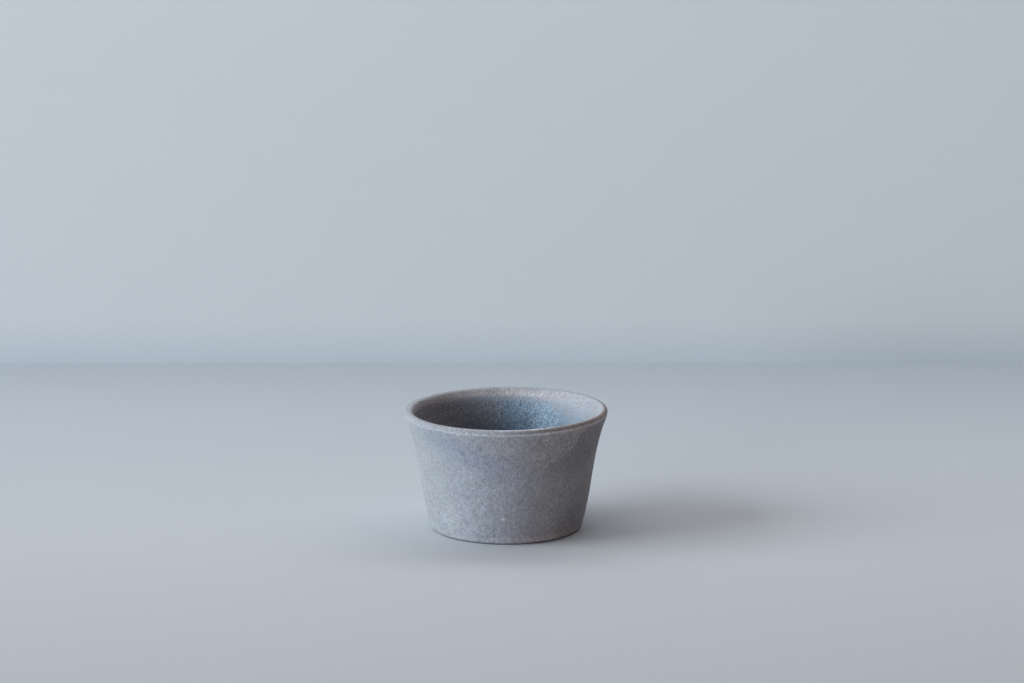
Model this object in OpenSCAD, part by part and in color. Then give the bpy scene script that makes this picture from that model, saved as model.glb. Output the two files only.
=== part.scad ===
// Guinomi: a small flared stoneware cup for sake.
// The clay body and each coat of glaze are separate shells that meet face to face.
// Millimetres. The cup stands on the plane z = 0, centred on the Z axis.
// Its front, where the edge of the second dip shows, faces -Y.

/* [Cup] */
// Widest diameter, at the corner of the lip
mouth_d = 75; // [68:0.5:84]
// Height from the table to the crest of the lip
cup_h = 44.6; // [40:0.1:54]
// Diameter of the glaze at its lower edge, just above the foot
foot_d = 55.4; // [50:0.1:62]
// Lean of the wall out from the vertical at the foot, in degrees
foot_lean = 17; // [8:0.5:20]
// Lean of the wall out from the vertical under the lip, in degrees
lip_lean = 22.5; // [12:0.5:24]

/* [Wall and floor] */
// Level thickness of the wall at the foot, glaze included
foot_wall_t = 3.6; // [3:0.1:5]
// Level thickness of the wall under the lip, glaze included
lip_wall_t = 2.6; // [2.3:0.1:3.2]
// Thickness of the floor from the foot's hollow up, glaze included
floor_t = 4; // [3.2:0.1:6]
// Height over which the floor curves up into the wall
bowl_h = 9; // [6:0.5:13]
// Width over which the floor curves up into the wall
bowl_w = 10; // [6:0.5:13]

/* [Lip] */
// Distance from the crest out to the corner of the lip
lip_w = 1.4; // [1:0.1:1.6]
// Drop from the crest to the corner of the lip
lip_h = 1.2; // [0.8:0.1:1.4]
// Drop from the corner to where the wall's own curve begins
corner_drop = 0.4; // [0.3:0.1:0.9]
// Drop from the crest over which the lip rounds into the inside
shoulder_h = 2.2; // [1.6:0.1:2.6]

/* [Foot] */
// Height of the bare clay under the edge of the glaze
bare_h = 0.3; // [0.3:0.1:2]
// Width of the ring that the cup stands on
ring_w = 4.5; // [3:0.1:7]
// Depth of the hollow inside the ring
hollow_h = 1.2; // [0.8:0.1:2.5]
// Width of the slope at either edge of the ring
ring_ease = 0.1; // [0.1:0.1:0.8]

/* [Glaze] */
// Thickness of each coat of glaze
glaze_t = 0.4; // [0.3:0.05:0.6]
// Extra thickness of the glaze that has pooled on the floor
pool_t = 0.6; // [0.2:0.1:1.2]
// Distance from the edge of that pool to where the floor starts to curve up
pool_margin = 2.5; // [1:0.5:6]
// Thickness of the second dip, over the first coat outside
dip_t = 0.2; // [0.15:0.05:0.4]
// Height of the pale lip band outside, below the corner
band_out_h = 1.2; // [1:0.1:4]
// Height of the pale lip band inside, below the crest
band_in_h = 3.4; // [3:0.1:8]

/* [Hidden] */
$fn = 96;

// Steps along each stretch of the outline
wall_steps = 12;
inner_steps = 9;
bowl_steps = 8;
pool_steps = 5;
corner_steps = 3;
round_steps = 6;
shoulder_steps = 6;
band_steps = 2;

mouth_r = mouth_d / 2;
foot_r = foot_d / 2;
corner_z = cup_h - lip_h;
floor_z = hollow_h + floor_t;

// Where the wall's own curve ends, under the corner of the lip
wall_top_z = corner_z - corner_drop;
wall_top_r = mouth_r - corner_drop * tan(lip_lean) / 2;
band_out_z = corner_z - band_out_h;
band_in_z = cup_h - band_in_h;

// Length of a bend's handles, as a share of the distance between its ends
bend_share = 0.38;

// Line of the second dip, seen from the front: x as a share of the mouth's
// radius, z as a share of the cup's height. The dip lies below and to its right.
dip_line_shares = [
    [0.84, 1.05], [0.8, 0.945], [0.745, 0.915], [0.69, 0.893], [0.665, 0.84],
    [0.6, 0.782], [0.51, 0.733], [0.4, 0.69], [0.23, 0.6], [-0.8, 0.06]
];

// Point at t on a cubic curve with four control values or points
function cubic(c, t) =
    c[0] * pow(1 - t, 3) + 3 * c[1] * t * pow(1 - t, 2) + 3 * c[2] * t * t * (1 - t) + c[3] * pow(t, 3);

// Radius of the glazed outside at height z
function wall_r(z) =
    let (rise = wall_top_z - bare_h)
    cubic([
        foot_r,
        foot_r + tan(foot_lean) * rise / 3,
        wall_top_r - tan(lip_lean) * rise / 3,
        wall_top_r
    ], (z - bare_h) / rise);

// Radius of the glazed inside at height z
function inner_r(z) =
    wall_r(z) - foot_wall_t + (foot_wall_t - lip_wall_t) * (z - bare_h) / (wall_top_z - bare_h);

// Direction of the inside at height z, going down, in degrees
function inner_heading(z) =
    let (step = cup_h / 100)
    atan2(-step, inner_r(z - step) - inner_r(z));

// Smooth bend between two points that leaves and arrives at the given headings.
// The first point is left out.
function bend(from, from_heading, to, to_heading, steps) =
    let (
        arm = bend_share * norm(to - from),
        c = [
            from,
            from + arm * [cos(from_heading), sin(from_heading)],
            to - arm * [cos(to_heading), sin(to_heading)],
            to
        ]
    )
    [for (i = [1:steps]) cubic(c, i / steps)];

// Outline of the glazed cup in four stretches: up the outside, over the lip,
// down the inside and along the floor to the centre
outside_line = [
    for (i = [0:wall_steps])
        let (z = bare_h + (band_out_z - bare_h) * i / wall_steps)
        [wall_r(z), z]
];

wall_top = [wall_top_r, wall_top_z];
corner = [mouth_r, corner_z];
crest = [mouth_r - lip_w, cup_h];
shoulder_z = cup_h - shoulder_h;
shoulder = [inner_r(shoulder_z), shoulder_z];

lip_line = concat(
    [wall_top],
    bend(wall_top, 90 - lip_lean, corner, 90, corner_steps),
    bend(corner, 90, crest, 180, round_steps),
    bend(crest, 180, shoulder, inner_heading(shoulder_z), shoulder_steps),
    [
        for (i = [1:band_steps])
            let (z = shoulder_z + (band_in_z - shoulder_z) * i / band_steps)
            [inner_r(z), z]
    ]
);

bowl_z = floor_z + bowl_h;
bowl_top = [inner_r(bowl_z), bowl_z];
bowl_foot = [inner_r(bowl_z) - bowl_w, floor_z];

inside_line = concat(
    [
        for (i = [1:inner_steps])
            let (z = band_in_z + (bowl_z - band_in_z) * i / inner_steps)
            [inner_r(z), z]
    ],
    bend(bowl_top, inner_heading(bowl_z), bowl_foot, -180, bowl_steps)
);

pool_r = bowl_foot[0] - pool_margin;
floor_line = [for (i = [0:pool_steps]) [pool_r * (1 - i / pool_steps), floor_z]];

skin = concat(outside_line, lip_line, inside_line, floor_line);
rim_start = len(outside_line) - 1;
rim_end = len(outside_line) + len(lip_line) - 1;
skin_end = len(skin) - 1;

// Unit vector square to the skin at point i, pointing out of the clay
function skin_normal(i) =
    let (
        a = skin[max(i - 1, 0)],
        b = skin[min(i + 1, skin_end)],
        d = (b - a) / norm(b - a)
    )
    i == skin_end ? [0, 1] : [d[1], -d[0]];

// Depth of the glaze at point i: the coat, and the pool on the floor
function depth(i) =
    let (share = i > rim_end ? max(0, 1 - pow(skin[i][0] / pool_r, 2)) : 0)
    glaze_t + pool_t * share;

clay_line = [for (i = [0:skin_end]) skin[i] - depth(i) * skin_normal(i)];
dip_face = [for (i = [0:rim_start]) skin[i] + dip_t * skin_normal(i)];

// Points first to last of a line, and the same points backwards
function stretch(line, first, last) = [for (i = [first:last]) line[i]];
function backwards(line) = [for (i = [len(line) - 1:-1:0]) line[i]];

ring_r = clay_line[0][0] - ring_ease;
hollow_r = ring_r - ring_w;

// Coat of glaze between two lines with the same number of points
module coat(face, back) {
    rotate_extrude()
        polygon(concat(face, backwards(back)));
}

module clay_body() {
    color([0.56, 0.5, 0.45])
        rotate_extrude()
            polygon(concat(
                [
                    [0, hollow_h],
                    [hollow_r - ring_ease, hollow_h],
                    [hollow_r, 0],
                    [ring_r, 0]
                ],
                clay_line
            ));
}

module outside_glaze() {
    color([0.56, 0.6, 0.67])
        coat(stretch(skin, 0, rim_start), stretch(clay_line, 0, rim_start));
}

module rim_glaze() {
    color([0.74, 0.75, 0.77])
        coat(stretch(skin, rim_start, rim_end), stretch(clay_line, rim_start, rim_end));
}

module inside_glaze() {
    color([0.4, 0.52, 0.65])
        coat(stretch(skin, rim_end, skin_end), stretch(clay_line, rim_end, skin_end));
}

// Side of the line that the second dip covers, seen from the front
module dip_side() {
    far = 2 * mouth_d;
    line = [for (p = dip_line_shares) [p[0] * mouth_r, p[1] * cup_h]];
    rotate([90, 0, 0])
        linear_extrude(far, center = true)
            polygon(concat(line, [[-far, -far], [far, -far], [far, line[0][1]]]));
}

module second_dip_glaze() {
    color([0.47, 0.48, 0.53])
        intersection() {
            coat(dip_face, stretch(skin, 0, rim_start));
            dip_side();
        }
}

clay_body();
inside_glaze();
outside_glaze();
rim_glaze();
second_dip_glaze();
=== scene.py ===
import math

import bpy
import bmesh
import numpy as np
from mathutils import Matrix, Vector, noise


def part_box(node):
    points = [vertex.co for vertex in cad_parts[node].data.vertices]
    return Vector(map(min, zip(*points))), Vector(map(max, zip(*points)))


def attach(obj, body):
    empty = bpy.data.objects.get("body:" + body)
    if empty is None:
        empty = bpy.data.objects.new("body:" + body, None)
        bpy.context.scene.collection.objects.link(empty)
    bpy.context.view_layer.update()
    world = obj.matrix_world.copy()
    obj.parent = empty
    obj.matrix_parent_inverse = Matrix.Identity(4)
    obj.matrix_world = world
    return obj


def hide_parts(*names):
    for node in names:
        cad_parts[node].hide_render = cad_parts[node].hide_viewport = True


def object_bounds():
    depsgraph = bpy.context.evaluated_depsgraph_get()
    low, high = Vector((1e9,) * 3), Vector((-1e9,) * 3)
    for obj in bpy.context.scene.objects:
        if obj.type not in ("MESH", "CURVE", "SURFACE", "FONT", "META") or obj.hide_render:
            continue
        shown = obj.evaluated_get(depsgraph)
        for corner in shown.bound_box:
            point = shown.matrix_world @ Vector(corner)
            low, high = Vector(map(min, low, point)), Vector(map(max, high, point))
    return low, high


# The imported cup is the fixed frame. Everything below is in metres.
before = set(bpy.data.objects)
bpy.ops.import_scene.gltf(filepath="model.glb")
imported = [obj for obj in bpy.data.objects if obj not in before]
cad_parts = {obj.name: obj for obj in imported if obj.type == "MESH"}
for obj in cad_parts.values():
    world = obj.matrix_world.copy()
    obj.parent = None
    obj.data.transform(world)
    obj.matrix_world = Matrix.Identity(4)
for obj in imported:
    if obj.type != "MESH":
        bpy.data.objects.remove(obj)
cad_low, cad_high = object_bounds()

MM = 0.001
BODY = "root"

# Driving sizes of the cup, as in the part's source
mouth_r = (cad_high.x - cad_low.x) / 2
cup_h = cad_high.z
bare_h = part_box("outside_glaze")[0].z
band_out_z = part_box("outside_glaze")[1].z
band_in_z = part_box("inside_glaze")[1].z
foot_r = 27.7 * MM
foot_lean = math.radians(17)
lip_lean = math.radians(22.5)
foot_wall_t = 3.6 * MM
lip_wall_t = 2.6 * MM
floor_z = 5.2 * MM
bowl_h = 9 * MM
bowl_w = 10 * MM
lip_w = 1.4 * MM
lip_h = 1.2 * MM
corner_drop = 0.4 * MM
shoulder_h = 2.2 * MM
hollow_h = 1.2 * MM
ring_w = 4.5 * MM
ring_ease = 0.1 * MM
glaze_t = 0.4 * MM
pool_t = 0.6 * MM
pool_margin = 2.5 * MM
dip_t = 0.2 * MM

# Line of the second dip, seen from the front: x as a share of the mouth's
# radius, z as a share of the cup's height. The dip lies below and to its right.
dip_line = np.array([
    (0.84, 1.05), (0.8, 0.945), (0.745, 0.915), (0.69, 0.893), (0.665, 0.84),
    (0.6, 0.782), (0.51, 0.733), (0.4, 0.69), (0.23, 0.6), (-0.8, 0.06),
]) * (mouth_r, cup_h)

corner_z = cup_h - lip_h
wall_top_z = corner_z - corner_drop
wall_top_r = mouth_r - corner_drop * math.tan(lip_lean) / 2
wall_rise = wall_top_z - bare_h

# Points round each ring of the meshes
COLUMNS = 256
# Length of a bend's handles, as a share of the distance between its ends
BEND_SHARE = 0.38
# A row narrower than this is a single point on the axis
POLE_WIDTH = 1e-6
# Extra thickness of the lip on the inside at left, and the bearing of its thickest place
THICK_T = 0.7 * MM
THICK_TURN = -100
# Middle of the ridge under the lip, in millimetres above the corner
RIDGE_S = -0.45
# Depth inside, in millimetres below the crest, at which the blue begins
BLUE_TOP = 2.6


# Outline of the cup

def cubic(c, t):
    """Point at t on a cubic curve with four control values or points."""
    return c[0] * (1 - t) ** 3 + 3 * c[1] * t * (1 - t) ** 2 + 3 * c[2] * t * t * (1 - t) + c[3] * t ** 3


def wall_r(z):
    """Radius of the glazed outside at height z."""
    lower = foot_r + math.tan(foot_lean) * wall_rise / 3
    upper = wall_top_r - math.tan(lip_lean) * wall_rise / 3
    return cubic((foot_r, lower, upper, wall_top_r), (z - bare_h) / wall_rise)


def inner_r(z):
    """Radius of the glazed inside at height z."""
    return wall_r(z) - foot_wall_t + (foot_wall_t - lip_wall_t) * (z - bare_h) / wall_rise


def inner_heading(z):
    """Direction of the inside at height z, going down."""
    step = cup_h / 100
    return math.atan2(-step, inner_r(z - step) - inner_r(z))


def bend(start, start_heading, end, end_heading, steps):
    """Smooth bend between two points, without its first point."""
    start = np.array(start)
    end = np.array(end)
    arm = BEND_SHARE * np.linalg.norm(end - start)
    leave = np.array((math.cos(start_heading), math.sin(start_heading)))
    arrive = np.array((math.cos(end_heading), math.sin(end_heading)))
    c = (start, start + arm * leave, end - arm * arrive, end)
    return [cubic(c, i / steps) for i in range(1, steps + 1)]


def wall_line(bottom, top, steps):
    """Outside of the wall between two heights, going up."""
    return [(wall_r(z), z) for z in np.linspace(bottom, top, steps + 1)]


def inner_line(top, bottom, steps):
    """Inside of the wall between two heights, going down, without its first point."""
    return [(inner_r(z), z) for z in np.linspace(top, bottom, steps + 1)[1:]]


corner = (mouth_r, corner_z)
crest = (mouth_r - lip_w, cup_h)
shoulder = (inner_r(cup_h - shoulder_h), cup_h - shoulder_h)
bowl_z = floor_z + bowl_h
bowl_foot = (inner_r(bowl_z) - bowl_w, floor_z)
pool_r = bowl_foot[0] - pool_margin

outside_line = wall_line(bare_h, band_out_z, 72)
lip_line = (
    wall_line(band_out_z, wall_top_z, 5)[1:]
    + bend((wall_top_r, wall_top_z), math.pi / 2 - lip_lean, corner, math.pi / 2, 6)
    + bend(corner, math.pi / 2, crest, math.pi, 16)
    + bend(crest, math.pi, shoulder, inner_heading(shoulder[1]), 18)
    + inner_line(shoulder[1], band_in_z, 4)
)
inside_line = (
    inner_line(band_in_z, bowl_z, 42)
    + bend((inner_r(bowl_z), bowl_z), inner_heading(bowl_z), bowl_foot, -math.pi, 20)
    + [(bowl_foot[0] * share, floor_z) for share in np.linspace(1, 0, 15)[1:]]
)

skin = np.array(outside_line + lip_line + inside_line)
LIP_START = len(outside_line) - 1
LIP_CORNER = LIP_START + 11
LIP_CREST = LIP_START + 27
LIP_END = LIP_START + len(lip_line)
SKIN_END = len(skin) - 1

along = np.gradient(skin, axis=0)
along /= np.linalg.norm(along, axis=1)[:, None]
skin_normal = np.stack((along[:, 1], -along[:, 0]), 1)
skin_normal[SKIN_END] = (0, 1)
skin_length = np.concatenate(([0], np.cumsum(np.linalg.norm(np.diff(skin, axis=0), axis=1))))

pool = np.where(np.arange(len(skin)) > LIP_END, np.clip(1 - (skin[:, 0] / pool_r) ** 2, 0, 1), 0)
clay_line = skin - (glaze_t + pool_t * pool)[:, None] * skin_normal


def hill(x, middle, width):
    """1 at the middle, fading over the width on both sides."""
    return np.exp(-((x - middle) / width) ** 2)


def smooth(low, high, x):
    """0 below low, 1 above high, with a soft step between."""
    t = np.clip((x - low) / (high - low), 0, 1)
    return t * t * (3 - 2 * t)


def rounded(x):
    """0 below 0 and 1 above 1, with a quarter circle between."""
    return np.sqrt(1 - (1 - np.clip(x, 0, 1)) ** 2)


def bearing(angles):
    """Degrees from the front, towards the right."""
    return (np.degrees(angles) + 270) % 360 - 180


# Meshes

def turned_row(point, angles):
    """One point of the outline turned to each angle, with the slight unevenness of a thrown pot."""
    r, z = point
    height = z / cup_h
    turn = bearing(angles)
    # Out of round by more towards the lip
    uneven = 0.05 * MM * np.cos(2 * angles + 1.6) + 0.07 * MM * np.cos(3 * angles + 2.6)
    radius = r + uneven * height * min(1, r / foot_r)
    # The lip stands higher at right, and rises again at the front right and at left
    lift = 0.24 * MM * np.cos(angles) + 0.05 * MM * np.cos(2 * angles - 0.4)
    lift = lift + 0.17 * MM * hill(turn, 48, 34) + 0.22 * MM * hill(turn, -78, 24)
    return np.stack((radius * np.cos(angles), radius * np.sin(angles), z + lift * height ** 3), -1)


def outward(i, angles):
    """Direction out of the glaze at outline point i, at each angle."""
    r, z = skin_normal[i]
    return np.stack((r * np.cos(angles), r * np.sin(angles), z + 0 * angles), -1)


def ripple(z, angles, pitch, height):
    """Shallow spiral left by the thrower's fingers."""
    return height * np.sin(2 * math.pi * z / pitch + angles)


def soft_noise(points, size):
    """Smooth noise at each point, from about -1 to 1, with bumps of about the given size."""
    flat = points.reshape(-1, 3) / size
    values = np.array([noise.noise(Vector(p)) for p in flat])
    return values.reshape(points.shape[:-1])


def relief(i, points, angles):
    """How far the glaze at outline point i stands off the smooth cup."""
    z = skin[i, 1]
    if i <= LIP_START:
        calm = min(1, (z - bare_h) / (6 * MM)) * min(1, (band_out_z - z) / (6 * MM))
        rings = ripple(z, angles, 3.1 * MM, 0.014 * MM) * max(calm, 0)
    elif i >= LIP_END:
        calm = min(1, (band_in_z - z) / (6 * MM)) * min(1, skin[i, 0] / (9 * MM))
        rings = ripple(z + 0.6 * skin[i, 0], angles, 4.3 * MM, 0.05 * MM) * calm
    else:
        rings = 0
    if i > LIP_CREST:
        below = (skin_length[i] - skin_length[LIP_CREST]) / MM
        full = THICK_T * hill(bearing(angles), THICK_TURN, 32)
        rings = rings + full * smooth(0, 1.6, below) * (1 - smooth(2.4, 9, below))
    quiet = 0.5 if LIP_START < i < LIP_END else 1
    swell = 0.03 * MM * soft_noise(points, 5.5 * MM) + 0.014 * MM * soft_noise(points, 1.7 * MM)
    return rings + quiet * swell


def face_rows(first, last, angles, extra=None):
    """Rows of the glazed surface between two outline points, raised by extra where it is given."""
    rows = []
    for i in range(first, last + 1):
        row = turned_row(skin[i], angles)
        lift = relief(i, row, angles)
        if extra is not None:
            lift = lift + extra[i - first]
        rows.append(row + outward(i, angles) * np.broadcast_to(lift, angles.shape)[..., None])
    return rows


def back_rows(first, last, angles, step):
    """Rows where the glaze meets the clay, from last to first, one for each step of the outline."""
    picked = sorted({first, last, *range(first, last, step)}, reverse=True)
    return [turned_row(clay_line[i], angles) for i in picked]


def loft(name, rows, ring=False, marks=None):
    """Closed mesh through rows of points. Each row is a loop, and a row on the axis becomes one point.
    ring joins the last row to the first. Otherwise an open end is closed by folding its row flat."""
    grid = np.array(rows)
    count, columns = grid.shape[:2]
    index = np.zeros((count, columns), int)
    points = []
    picked = []
    for i in range(count):
        pole = np.ptp(grid[i], axis=0).max() < POLE_WIDTH
        for j in range(columns):
            if pole and j:
                index[i, j] = index[i, 0]
            else:
                index[i, j] = len(points)
                points.append(grid[i, j])
                picked.append((i, j))
    faces = []
    for i in range(count if ring else count - 1):
        a = index[i]
        b = index[(i + 1) % count]
        for j in range(columns):
            k = (j + 1) % columns
            face = list(dict.fromkeys((a[j], a[k], b[k], b[j])))
            if len(face) > 2:
                faces.append([int(v) for v in face])
    for end in () if ring else (index[0], index[-1]):
        if end[0] != end[1]:
            for j in range(columns // 2 - 1):
                faces.append([int(v) for v in (end[j], end[j + 1], end[-2 - j], end[-1 - j])])
    mesh = bpy.data.meshes.new(name)
    mesh.from_pydata([tuple(p) for p in points], [], faces)
    for mark, values in (marks or {}).items():
        values = np.broadcast_to(values, (count, columns))
        layer = mesh.attributes.new(mark, "FLOAT", "POINT")
        layer.data.foreach_set("value", [float(values[i, j]) for i, j in picked])
    solid = bmesh.new()
    solid.from_mesh(mesh)
    bmesh.ops.recalc_face_normals(solid, faces=solid.faces)
    solid.to_mesh(mesh)
    solid.free()
    mesh.shade_smooth()
    mesh.set_sharp_from_angle(angle=math.radians(50))
    piece = bpy.data.objects.new(name, mesh)
    bpy.context.scene.collection.objects.link(piece)
    return piece


def settle(piece, finish, node=None):
    """Gives a piece its finish and ties it to the frame."""
    piece.data.materials.append(finish)
    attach(piece, BODY)
    if node:
        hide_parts(node)


# Shader nodes

def linear(r, g, b):
    """Colour from its three 8-bit display values."""
    def channel(v):
        v = v / 255
        return v / 12.92 if v <= 0.04045 else ((v + 0.055) / 1.055) ** 2.4
    return (channel(r), channel(g), channel(b), 1)


class Value:
    """Output of a shader node that takes part in Python arithmetic."""

    def __init__(self, finish, socket):
        self.finish = finish
        self.socket = socket

    def math(self, operation, a, b=0.0):
        return self.finish.node("ShaderNodeMath", {"operation": operation}, {0: a, 1: b})

    def __add__(self, other):
        return self.math("ADD", self, other)

    def __radd__(self, other):
        return self.math("ADD", other, self)

    def __sub__(self, other):
        return self.math("SUBTRACT", self, other)

    def __rsub__(self, other):
        return self.math("SUBTRACT", other, self)

    def __mul__(self, other):
        return self.math("MULTIPLY", self, other)

    def __rmul__(self, other):
        return self.math("MULTIPLY", other, self)


class Finish:
    """One material, built from nodes that feed a Principled shader."""

    def __init__(self, name, roughness):
        self.material = bpy.data.materials.new(name)
        self.material.use_nodes = True
        self.tree = self.material.node_tree
        self.shader = self.tree.nodes["Principled BSDF"]
        self.shader.inputs["Roughness"].default_value = roughness
        self.place = self.node("ShaderNodeTexCoord", {}, {}, "Object")

    def node(self, kind, settings, inputs, output=0):
        """Adds a node. Its settings come first, then the values or links of its sockets."""
        made = self.tree.nodes.new(kind)
        for key, value in settings.items():
            setattr(made, key, value)
        for key, value in inputs.items():
            self.join(made.inputs[key], value)
        return Value(self, made.outputs[output])

    def join(self, socket, value):
        """Links a value to a socket, or writes it there."""
        if isinstance(value, Value):
            self.tree.links.new(value.socket, socket)
        else:
            socket.default_value = value

    def mark(self, name):
        """A number that the mesh carries at each point."""
        return self.node("ShaderNodeAttribute", {"attribute_name": name}, {}, "Fac")

    def grain(self, size, detail=2.0, roughness=0.5):
        """Noise from 0 to 1 with spots of about the given size."""
        return self.node(
            "ShaderNodeTexNoise", {},
            {"Vector": self.place, "Scale": 1 / size, "Detail": detail, "Roughness": roughness},
        )

    def step(self, value, low, high):
        """Soft step of a value from 0 at low to 1 at high."""
        return self.node(
            "ShaderNodeMapRange", {"interpolation_type": "SMOOTHSTEP"},
            {"Value": value, "From Min": low, "From Max": high},
        )

    def blend(self, mask, a, b, kind="MIX"):
        """Colour a where the mask is 0 and b where it is 1."""
        return self.node(
            "ShaderNodeMix", {"data_type": "RGBA", "blend_type": kind},
            {0: mask, 6: a, 7: b}, 2,
        )

    def mottle(self, tone, tint):
        """Colour that varies with the tone round a tint of three 8-bit display values."""
        dark = linear(*(DARKEST * v for v in tint))
        light = linear(*(LIGHTEST * v for v in tint))
        return self.blend(tone, dark, light)

    def feed(self, socket, value):
        """Links or writes a value to a socket of the shader."""
        self.join(self.shader.inputs[socket], value)

    def bump(self, height, distance):
        """Raises the surface by a height from 0 to 1, over the given distance."""
        inputs = {"Height": height, "Distance": distance, "Strength": 1.0}
        self.feed("Normal", self.node("ShaderNodeBump", {}, inputs))


# Darkest and lightest of the mottling, as shares of a colour
DARKEST = 0.82
LIGHTEST = 1.15

# Plain colour of the glaze, in 8-bit display values as all tints are
GLAZE_TINT = (144, 153, 162)

# Colours that the glaze takes where the mesh marks it, each with how ragged its edge is
glaze_tints = (
    # Painted shade, low down and along the shaded right side
    ("painted_dusk_shade", 1.5, (134, 143, 152)),
    ("deep", 1.5, (134, 144, 158)),
    ("beige", 1.5, (160, 167, 174)),
    ("layer", 1.0, (128, 137, 147)),
    ("ridge", 0.5, (184, 190, 199)),
    # Rubbed edge of the lip, darker still as painted shade on the shaded side and behind
    ("wear_and_shade", 0.8, (123, 129, 136)),
    # Painted highlight on the crest of the lip in front
    ("crest", 0.8, (198, 214, 230)),
    ("bead", 2.0, (154, 164, 173)),
    ("thin", 1.5, (160, 168, 179)),
    # Painted light outside; inside partly pale glaze and partly painted light
    ("pale", 0.8, (196, 201, 208)),
    ("blue", 3.0, (106, 134, 159)),
    ("light_blue", 2.0, (126, 155, 179)),
    ("smoke", 2.0, (123, 133, 144)),
)

# Casts laid over those colours, as shares of red, green and blue
glaze_casts = (
    # Painted warm shade on the shaded side
    ("painted_warm_shade", (1.06, 0.9, 0.84)),
    ("lavender", (0.93, 0.92, 1.0)),
    # Painted warm shade on the shaded left of the inside
    ("painted_brown_shade", (0.96, 0.83, 0.76)),
    ("cool", (0.94, 0.985, 1.02)),
    ("shade", (0.76, 0.8, 0.82)),
)


def glaze_finish(name, roughness, speckle, size):
    """Matte glaze with speckles of the given strength and size. It changes where the mesh marks it."""
    finish = Finish(name, roughness)
    fine = finish.grain(size, 2.0, 0.6)
    coarse = finish.grain(1.2 * MM)
    cloud = finish.grain(6 * MM)
    spots = (fine - 0.5) * speckle + (coarse - 0.5) * 1.6
    tone = spots * finish.mark("mottled") + (cloud - 0.5) * 0.24 + 0.5
    patch = (coarse - 0.5) * 0.5 + (fine - 0.5) * 0.5
    colour = finish.mottle(tone, GLAZE_TINT)
    for mark, ragged, tint in glaze_tints:
        amount = finish.mark(mark)
        mask = finish.step(amount + patch * ragged * amount * (1 - amount) * 4, 0, 1)
        colour = finish.blend(mask, colour, finish.mottle(tone, tint))
    for mark, cast in glaze_casts:
        colour = finish.blend(finish.mark(mark), colour, (*cast, 1), "MULTIPLY")
    finish.feed("Base Color", colour)
    finish.feed("Roughness", roughness + 0.2 * (fine - 0.5) - 0.25 * finish.mark("crest"))
    finish.bump(fine * 0.72 + coarse * 0.2, 0.8 * MM)
    return finish.material


def clay_finish(name):
    """Bare fired stoneware, darkened partly as painted shade so that its thin strip at the foot reads as
    the dark contact line.
    """
    finish = Finish(name, 0.85)
    fine = finish.grain(0.35 * MM, 4.0, 0.7)
    coarse = finish.grain(2.5 * MM, 2.0, 0.5)
    tone = finish.step(fine * 0.6 + coarse * 0.4, 0.35, 0.7)
    finish.feed("Base Color", finish.blend(tone, linear(64, 66, 68), linear(94, 95, 96)))
    finish.feed("Roughness", 0.78 + 0.15 * fine)
    finish.bump(fine, 0.12 * MM)
    return finish.material


# Cup

full_turn = np.linspace(0, 2 * math.pi, COLUMNS, endpoint=False)

from_corner = skin_length - skin_length[LIP_CORNER]
from_crest = skin_length - skin_length[LIP_CREST]


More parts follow.
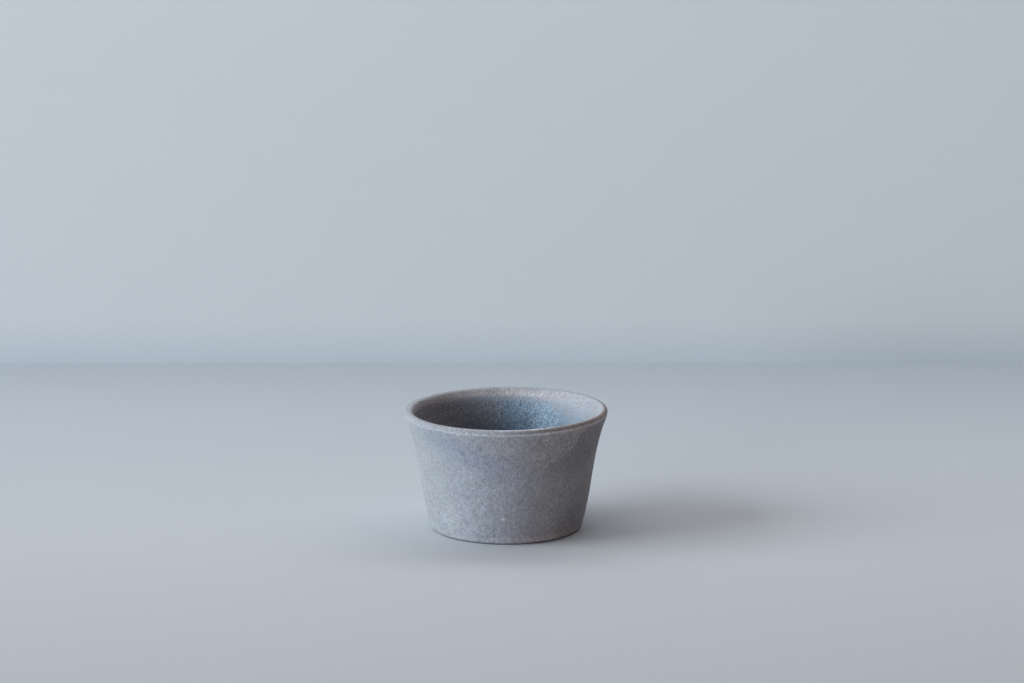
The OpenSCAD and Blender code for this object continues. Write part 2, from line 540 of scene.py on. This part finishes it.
def outside_marks(rows, angles):
    """How the glaze changes colour outside, at each row of the outline and each angle.
    s is the way up past the corner of the lip and z the height, both in millimetres."""
    turn = bearing(angles)
    s = from_corner[rows][:, None] / MM - 0.06 * np.cos(angles)
    z = skin[rows, 1][:, None] / MM
    even = np.ones(np.broadcast(s, turn).shape)
    behind = smooth(0, 0.4, np.sin(angles))
    before_back = 1 - smooth(100, 140, turn)
    shade_side = smooth(-6, 28, turn) * before_back

    # Pale ridge under the lip, rubbed edge over it that is darker as painted shade on the shade side and
    # behind, and a crest with a painted highlight in front and painted shade behind
    ridge = hill(s, RIDGE_S, np.where(s < RIDGE_S, 0.65, 0.4)) * (0.6 + 0.4 * smooth(-30, 10, turn))
    rub = smooth(-0.15, 0.3, s - 0.2 * smooth(34, 48, turn)) * (1 - smooth(1.5, 2, s))
    rub_and_shade_share = 0.35 + 0.65 * shade_side * (1 - 0.4 * smooth(40, 65, turn))
    painted_crest_highlight = hill(s, 1.95 + 0.2 * smooth(15, 30, turn), 0.55)
    painted_crest_highlight = painted_crest_highlight * smooth(-50, 8, turn) * (1 - smooth(20, 42, turn))
    far_crest = smooth(1.2, 1.8, s) * smooth(-0.15, 0.15, np.sin(angles))

    # Pale lobe above the second dip, and the paler stretch under the lip
    right_end = smooth(36, 46, turn)
    lobe = 0.35 * (1 - smooth(34, 37.5, z) * (1 - right_end)) + 0.5 * right_end
    lobe = lobe * smooth(3, 14, turn) * (1 - smooth(62, 80, turn)) * smooth(29, 34, z)
    under_lip = (0.4 - 0.36 * hill(turn, -10, 32)) * smooth(37.5, 41, z)
    under_lip = under_lip + 0.3 * hill(turn, 2, 14) * hill(z, 37, 2.5)

    # Deeper blue-grey along a seam that falls from left to right
    seam = 35 - 0.25 * (turn + 26)
    deep = 0.9 * hill(z, seam, 5.5) * smooth(-75, -48, turn) * (1 - smooth(-22, 18, turn))

    # Painted shade low down and along the right side, and painted light over the foot and low at left
    low_side = (1 - smooth(8, 21, z)) * shade_side * smooth(28, 52, turn)
    right_edge = smooth(47, 66, turn) * before_back * smooth(8, 24, z) * (1 - smooth(38, 41, z))
    low_middle = hill(turn, 19, 12) * (1 - smooth(28, 35, z))
    painted_foot_light = 0.42 * (1 - smooth(1.5, 5, z)) * smooth(-25, 5, turn) * (1 - smooth(60, 75, turn))
    painted_left_light = 0.2 * hill(turn, -38, 18) * (1 - smooth(10, 22, z))

    # Casts: lavender in front, and painted warm shade at right
    lavender = smooth(-50, 6, turn) * (1 - 0.4 * smooth(32, 37, z)) * (1 - smooth(40, 42.5, z))
    lavender = lavender + 0.6 * hill(turn, 5, 14) * smooth(40, 42.5, z)
    painted_warm_shade = smooth(-12, 25, turn) * (1 - smooth(80, 165, turn))
    painted_warm_shade = painted_warm_shade * (1 - 0.4 * hill(turn, 11, 12) * hill(z, 22, 8))
    painted_warm_shade = painted_warm_shade + 0.2 * hill(turn, -5, 18) * smooth(31, 36, z) * (1 - smooth(39, 41, z))
    return {
        "ridge": ridge,
        "wear_and_shade": rub * np.maximum(rub_and_shade_share, 0.9 * behind),
        "crest": painted_crest_highlight,
        "beige": np.maximum(lobe, under_lip),
        "deep": deep,
        "painted_warm_shade": painted_warm_shade * (1 - 0.4 * smooth(40.5, 43, z) * (1 - smooth(22, 42, turn))),
        "painted_dusk_shade": 0.4 * low_middle + 0.9 * low_side + 0.5 * right_edge,
        "lavender": lavender * (1 - smooth(11, 29, turn)),
        "cool": 0.55 * hill(turn, -40, 24) * even,
        "pale": painted_foot_light + painted_left_light,
        "shade": far_crest,
        "mottled": (0.6 + 0.4 * smooth(-50, -5, turn)) * even,
    }


def inside_marks(rows, angles):
    """How the glaze changes colour inside, at each row of the outline and each angle.
    down is the way down from the crest in millimetres. left is -1 at right and 1 at left."""
    down = from_crest[rows][:, None] / MM
    turn = bearing(angles)
    left = -np.cos(angles)
    far = np.sin(angles)
    high = 1 - smooth(16, 26, down)
    behind = smooth(-0.3, 0.1, far)

    # Pale band under the far rim, narrower at the left end, partly pale glaze and partly painted light
    end_share = smooth(0.5, 0.8, left)
    band = 1 - smooth(2.5 - 1.6 * end_share, 4.2 - end_share, down)
    band_share = 0.25 * smooth(-0.35, 0, left) + 0.45 * smooth(0.1, 0.4, left)
    band_share = band_share + 0.3 * smooth(0.6, 0.85, left)
    pale = behind * (band * band_share + 0.45 * hill(down, 2.9, 1.0) * hill(left, -0.26, 0.34))

    # Shade on the far crest, at both ends and in two low places
    crest_shade = hill(down, 0.3, 0.9) * smooth(-0.15, 0.15, far)
    left_shade = smooth(0.8, 0.93, left) * smooth(-0.15, 0.25, far) * hill(down, 1.2, 1.3)
    right_shade = (0.45 * smooth(0.45, 0.75, -left) + 0.4 * smooth(0.75, 0.97, -left)) * high
    low_shade = 0.9 * hill(left, -0.25, 0.09) * smooth(9, 13, down) * high
    low_shade = low_shade + 0.4 * hill(left, 0.13, 0.1) * hill(down, 8.5, 3)

    # The blue comes in more slowly at the far right, and is lighter there in patches
    reach = 7 + 11 * smooth(8, 65, 180 - turn) * smooth(60, 115, turn)
    blue = np.clip((down - BLUE_TOP) / (reach - BLUE_TOP), 0, 1) ** 0.9
    light_blue = 0.6 * hill(left, -0.42, 0.2) * smooth(3, 8, down)
    light_blue = light_blue + 0.5 * hill(left, -0.56, 0.12) * smooth(10, 14, down)

    near = smooth(0.1, 0.5, -far) * (1 - smooth(0, 25, turn))
    mottled = 0.25 * hill(left, -0.1, 0.5) * smooth(3, 7, down) - 0.45 * smooth(0.2, 0.6, left)
    smoke_end = 7 - 2.5 * smooth(0.6, 0.85, left)
    return {
        "thin": np.ones(np.broadcast(down, turn).shape),
        "pale": pale,
        "shade": np.maximum(crest_shade, right_shade + low_shade * behind + left_shade),
        "light_blue": light_blue * high * behind,
        "mottled": 0.55 + 0.3 * smooth(2, 5, down) + mottled * high,
        "cool": (1 - smooth(1.2, 2.4, down)) * np.maximum(0.9 * near, smooth(0.5, 0.85, left)),
        "blue": blue * smooth(2.8, 4.2, down),
        "smoke": smooth(-0.2, 0.35, left) * smooth(BLUE_TOP, smoke_end, down) * high,
        # Painted warm shade on the shaded left of the inside, high up
        "painted_brown_shade": smooth(0.3, 0.8, left) * smooth(1, 3.5, down) * high,
    }


def lip_marks(rows, angles):
    """Marks of the outside up to the crest, and of the inside beyond it."""
    marks = outside_marks(rows, angles)
    inner = inside_marks(rows, angles)
    over = smooth(0, 0.5 * MM, from_crest[rows])[:, None]
    for mark in ("beige", "deep", "painted_warm_shade", "painted_dusk_shade", "lavender", "cool", "shade", "mottled"):
        marks[mark] = marks[mark] * (1 - over)
    for mark, grid in inner.items():
        marks[mark] = marks.get(mark, 0) + grid * over
    return marks


def coat(name, first, last, step, marks, extra=None):
    """Coat of glaze between two points of the outline. Its back carries no marks."""
    face = face_rows(first, last, full_turn, extra)
    back = back_rows(first, last, full_turn, step)
    blank = np.zeros((len(back), len(full_turn)))
    grids = {}
    for mark, grid in marks(np.arange(first, last + 1), full_turn[None, :]).items():
        grids[mark] = np.concatenate((grid, blank))
    return loft(name, face + back, ring=True, marks=grids)


# The first coat's lower edge is drawn in to the clay and swells a little above it.
# EDGE_T is the thickness of the glaze at the edge itself.
EDGE_T = 0.12 * MM
from_foot = skin_length[:LIP_START + 1]
swell = 0.05 * MM * hill(from_foot, 0.9 * MM, 0.6 * MM)
foot_roll = (glaze_t - EDGE_T) * (rounded(from_foot / (0.2 * MM)) - 1) + swell

first_coat = coat("first_coat", 0, LIP_START, 8, outside_marks, foot_roll)
lip_glaze = coat("lip_glaze", LIP_START, LIP_END, 3, lip_marks)
liner = coat("liner_glaze", LIP_END, SKIN_END, 6, inside_marks)

ring_r = clay_line[0, 0] - ring_ease
hollow_r = ring_r - ring_w
foot_line = np.array(
    [(share * (hollow_r - ring_ease), hollow_h) for share in np.linspace(0, 1, 14)]
    + [(hollow_r - 0.25 * ring_ease, 0.25 * hollow_h), (hollow_r + 0.25 * ring_ease, 0.04 * hollow_h)]
    + [(r, 0) for r in np.linspace(hollow_r + ring_ease, ring_r - 0.1 * MM, 8)]
    + [(ring_r + 0.04 * MM, 0.03 * MM), (clay_line[0, 0] - 0.02 * MM, 0.12 * MM)]
)
clay_picks = sorted({0, SKIN_END, *range(0, SKIN_END, 5)})
clay_points = [*foot_line, *clay_line[clay_picks]]
pot = loft("thrown_pot", [turned_row(point, full_turn) for point in clay_points])


# Second dip

# Thinnest that the dip gets at its edge, and how far its back sinks into the first coat
THIN_T = 0.03 * MM
SINK = 0.02 * MM
# Radius of its rounded upper and lower edges, and how far into the lower one it starts
EDGE_R = 0.5 * MM
START_S = 0.02 * MM
# Width over which the dip thickens, where its line is sharp and where it has faded
SHARP_W = 0.4 * MM
FADED_W = 12 * MM
# The dip's edge keeps clear of the point straight at left, as an angle
CLEAR = 0.006

dip_top = LIP_START + 1
dip_rows = np.arange(0, dip_top + 1)
edge_x = np.interp(skin[dip_rows, 1], dip_line[::-1, 1], dip_line[::-1, 0])
edge_angle = np.arccos(np.clip(edge_x / skin[dip_rows, 0], -1, 1))
edge_angle = np.minimum(edge_angle, math.pi - CLEAR)
spread = np.linspace(-1, 1, 161)
spread = np.sign(spread) * (1 - (1 - np.abs(spread)) ** 1.6)
open_rows = edge_angle < math.pi - 0.01
sharp_share = smooth(25 * MM, 32 * MM, skin[dip_rows, 1])


def from_dip_line(i, angles):
    """Distance of each angle in row i from the dip's line, and how sharp the line is there."""
    reach = []
    for side in (-1, 1):
        gap = skin[i, 0] * (angles[:, None] - side * edge_angle[open_rows][None, :])
        rise = (skin_length[i] - skin_length[dip_rows[open_rows]])[None, :]
        reach.append(np.sqrt(gap ** 2 + rise ** 2))
    reach = np.concatenate(reach, 1)
    nearest = reach.argmin(1) % open_rows.sum()
    return reach.min(1), sharp_share[open_rows][nearest]


dip_face = []
dip_back = []
layer_rows = []
bead_rows = []
angle_rows = []
for i in dip_rows:
    angles = spread * edge_angle[i]
    from_line, sharp = from_dip_line(i, angles)
    across = from_line / (SHARP_W * sharp + FADED_W * (1 - sharp))
    share = sharp * rounded(across) + (1 - sharp) * smooth(0, 1, across)
    share = share * rounded((skin_length[dip_top] - skin_length[i]) / EDGE_R)
    share = share * rounded((skin_length[i] + START_S) / EDGE_R)
    bead = 0.1 * MM * sharp * hill(from_line, 0.55 * MM, 0.4 * MM)
    lift = THIN_T + (dip_t - THIN_T) * share + bead * share
    row = turned_row(skin[i], angles)
    base = relief(i, row, angles) + (foot_roll[i] if i < len(foot_roll) else 0)
    dip_face.append(row + outward(i, angles) * (base + lift)[:, None])
    dip_back.append(row + outward(i, angles) * (base - SINK)[:, None])
    upper = smooth(20 * MM, 34 * MM, skin[i, 1])
    layer_w = 0.9 * MM * sharp + 15 * MM * (1 - sharp)
    layer_rows.append(upper * smooth(0.3 * MM, 1, from_line / layer_w))
    bead_rows.append(0.6 * sharp * (1 - smooth(0.2 * MM, 1.2 * MM, from_line)))
    angle_rows.append(angles)

dip_grid = [np.concatenate((face, back[::-1])) for face, back in zip(dip_face, dip_back)]
dip_marks = outside_marks(dip_rows, np.array(angle_rows))
dip_marks["layer"] = np.array(layer_rows)
dip_marks["bead"] = np.array(bead_rows)
dip_marks["beige"] = 0.5 * dip_marks["beige"] * (1 - dip_marks["layer"])
dip_marks = {mark: np.concatenate((grid, 0 * grid), 1) for mark, grid in dip_marks.items()}
second_coat = loft("second_coat", dip_grid, marks=dip_marks)


# Grains of feldspar that show through the glaze: bearing, height and radius
grain_places = [(-1.5, 10.25 * MM, 0.7 * MM), (-39.1, 14.25 * MM, 0.28 * MM), (-152, 17 * MM, 0.4 * MM)]
# Half the thickness of a grain, and how far its middle stands off the wall
GRAIN_T = 0.14 * MM
GRAIN_LIFT = 0.12 * MM


def grains():
    """Small flat lenses set into the outside."""
    solid = bmesh.new()
    for turn, z, radius in grain_places:
        made = bmesh.ops.create_uvsphere(solid, u_segments=20, v_segments=12, radius=1)
        a = math.radians(turn - 90)
        lean = math.atan2(wall_r(z + MM) - wall_r(z - MM), 2 * MM)
        out = Vector((math.cos(a) * math.cos(lean), math.sin(a) * math.cos(lean), -math.sin(lean)))
        across = Vector((-math.sin(a), math.cos(a), 0))
        up = out.cross(across)
        centre = Vector((wall_r(z) * math.cos(a), wall_r(z) * math.sin(a), z)) + out * GRAIN_LIFT
        for v in made["verts"]:
            wobble = 1 + 0.12 * math.sin(3 * math.atan2(v.co.y, v.co.x) + turn)
            x, y = v.co.x * radius * wobble, v.co.y * radius * wobble
            v.co = centre + across * x + up * y + out * v.co.z * GRAIN_T
    mesh = bpy.data.meshes.new("feldspar_grains")
    bmesh.ops.recalc_face_normals(solid, faces=solid.faces)
    solid.to_mesh(mesh)
    solid.free()
    mesh.shade_smooth()
    piece = bpy.data.objects.new("feldspar_grains", mesh)
    bpy.context.scene.collection.objects.link(piece)
    return piece


def feldspar_finish(name):
    """White grain under a thin skin of glaze."""
    finish = Finish(name, 0.5)
    tone = finish.grain(0.2 * MM)
    finish.feed("Base Color", finish.mottle(tone, (178, 181, 184)))
    return finish.material


settle(pot, clay_finish("bare_stoneware"), "clay_body")
settle(first_coat, glaze_finish("grey_glaze", 0.62, 1.3, 0.5 * MM), "outside_glaze")
settle(lip_glaze, glaze_finish("lip_glaze", 0.6, 1.3, 0.5 * MM), "rim_glaze")
settle(liner, glaze_finish("blue_glaze", 0.5, 2.6, 0.6 * MM), "inside_glaze")
settle(grains(), feldspar_finish("feldspar"))
twice = glaze_finish("grey_glaze_twice", 0.62, 1.3, 0.5 * MM)
settle(second_coat, twice, "second_dip_glaze")


# Camera, floor, backdrop and light

# Focal length and image width in pixels, sensor width in millimetres, and how
# many degrees the camera looks down
FOCAL_PX = 3400
IMAGE_PX = 1024
SENSOR_W = 36
LOOK_DOWN = 11.7

camera_data = bpy.data.cameras.new("camera")
camera_data.sensor_width = SENSOR_W
camera_data.lens = FOCAL_PX / IMAGE_PX * SENSOR_W
camera = bpy.data.objects.new("camera", camera_data)
camera.location = (2.24 * MM, -1.2202, 0.3223)
camera.rotation_euler = (math.radians(90 - LOOK_DOWN), 0, 0)
bpy.context.scene.collection.objects.link(camera)
bpy.context.scene.camera = camera


def sheet(name, corners, near, far, axis, start, end):
    """Flat piece of the setting, matte and plain. Its colour drifts from near to far along an axis."""
    mesh = bpy.data.meshes.new(name)
    mesh.from_pydata(corners, [], [range(len(corners))])
    made = bpy.data.objects.new(name, mesh)
    bpy.context.scene.collection.objects.link(made)
    finish = Finish(name, 0.9)
    place = finish.node("ShaderNodeSeparateXYZ", {}, {0: finish.place}, axis)
    drift = finish.node("ShaderNodeMapRange", {}, {"Value": place, "From Min": start, "From Max": end})
    finish.feed("Base Color", finish.blend(drift, near, far))
    mesh.materials.append(finish.material)
    return finish


# Where the floor ends and the backdrop stands
WALL_Y = 0.287
floor_corners = [(-4, -4, 0), (4, -4, 0), (4, WALL_Y, 0), (-4, WALL_Y, 0)]
wall_corners = [(-0.8, WALL_Y, 0), (0.8, WALL_Y, 0), (0.8, WALL_Y, 1), (-0.8, WALL_Y, 1)]
# The floor darkens towards the backdrop and the backdrop over its lowest 2 cm: painted shade where they
# meet
sheet("floor", floor_corners, linear(173, 185, 195), linear(158, 172, 184), "Y", -0.03, 0.25)
wall = sheet("backdrop", wall_corners, linear(180, 195, 206), linear(195, 206, 214), "Z", 0, 0.02)
# The backdrop is clear from behind, so that it never hides the cup
back_side = wall.node("ShaderNodeNewGeometry", {}, {}, "Backfacing")
clear = wall.node("ShaderNodeBsdfTransparent", {}, {})
matte = Value(wall, wall.shader.outputs[0])
seen = wall.node("ShaderNodeMixShader", {}, {0: back_side, 1: matte, 2: clear})
wall.join(wall.tree.nodes["Material Output"].inputs["Surface"], seen)


def lamp(name, azimuth, elevation, distance, size, power, colour):
    """Square soft lamp that looks at the cup. Azimuth is from the front, towards the right."""
    data = bpy.data.lights.new(name, "AREA")
    data.shape = "RECTANGLE"
    data.size, data.size_y = size
    data.energy = power
    data.color = colour
    made = bpy.data.objects.new(name, data)
    a = math.radians(azimuth)
    e = math.radians(elevation)
    towards = Vector((math.sin(a) * math.cos(e), -math.cos(a) * math.cos(e), math.sin(e)))
    made.location = towards * distance + Vector((0, 0, 0.02))
    made.rotation_euler = towards.to_track_quat("Z", "Y").to_euler()
    bpy.context.scene.collection.objects.link(made)


lamp("window", -79, 24, 5, (3.4, 2.6), 280, (1.0, 1.0, 1.0))
lamp("front_fill", -40, 8, 5, (2.4, 1.8), 120, (1.0, 1.0, 1.0))
lamp("back_fill", 180, 60, 0.55, (1.4, 0.4), 4.6, (1.0, 0.88, 0.82))

world = bpy.data.worlds.new("studio")
world.use_nodes = True
bpy.context.scene.world = world
backing = world.node_tree.nodes["Background"]
backing.inputs["Color"].default_value = (1.0, 0.5, 0.32, 1)
backing.inputs["Strength"].default_value = 0.1

bpy.context.scene.view_settings.view_transform = "Standard"
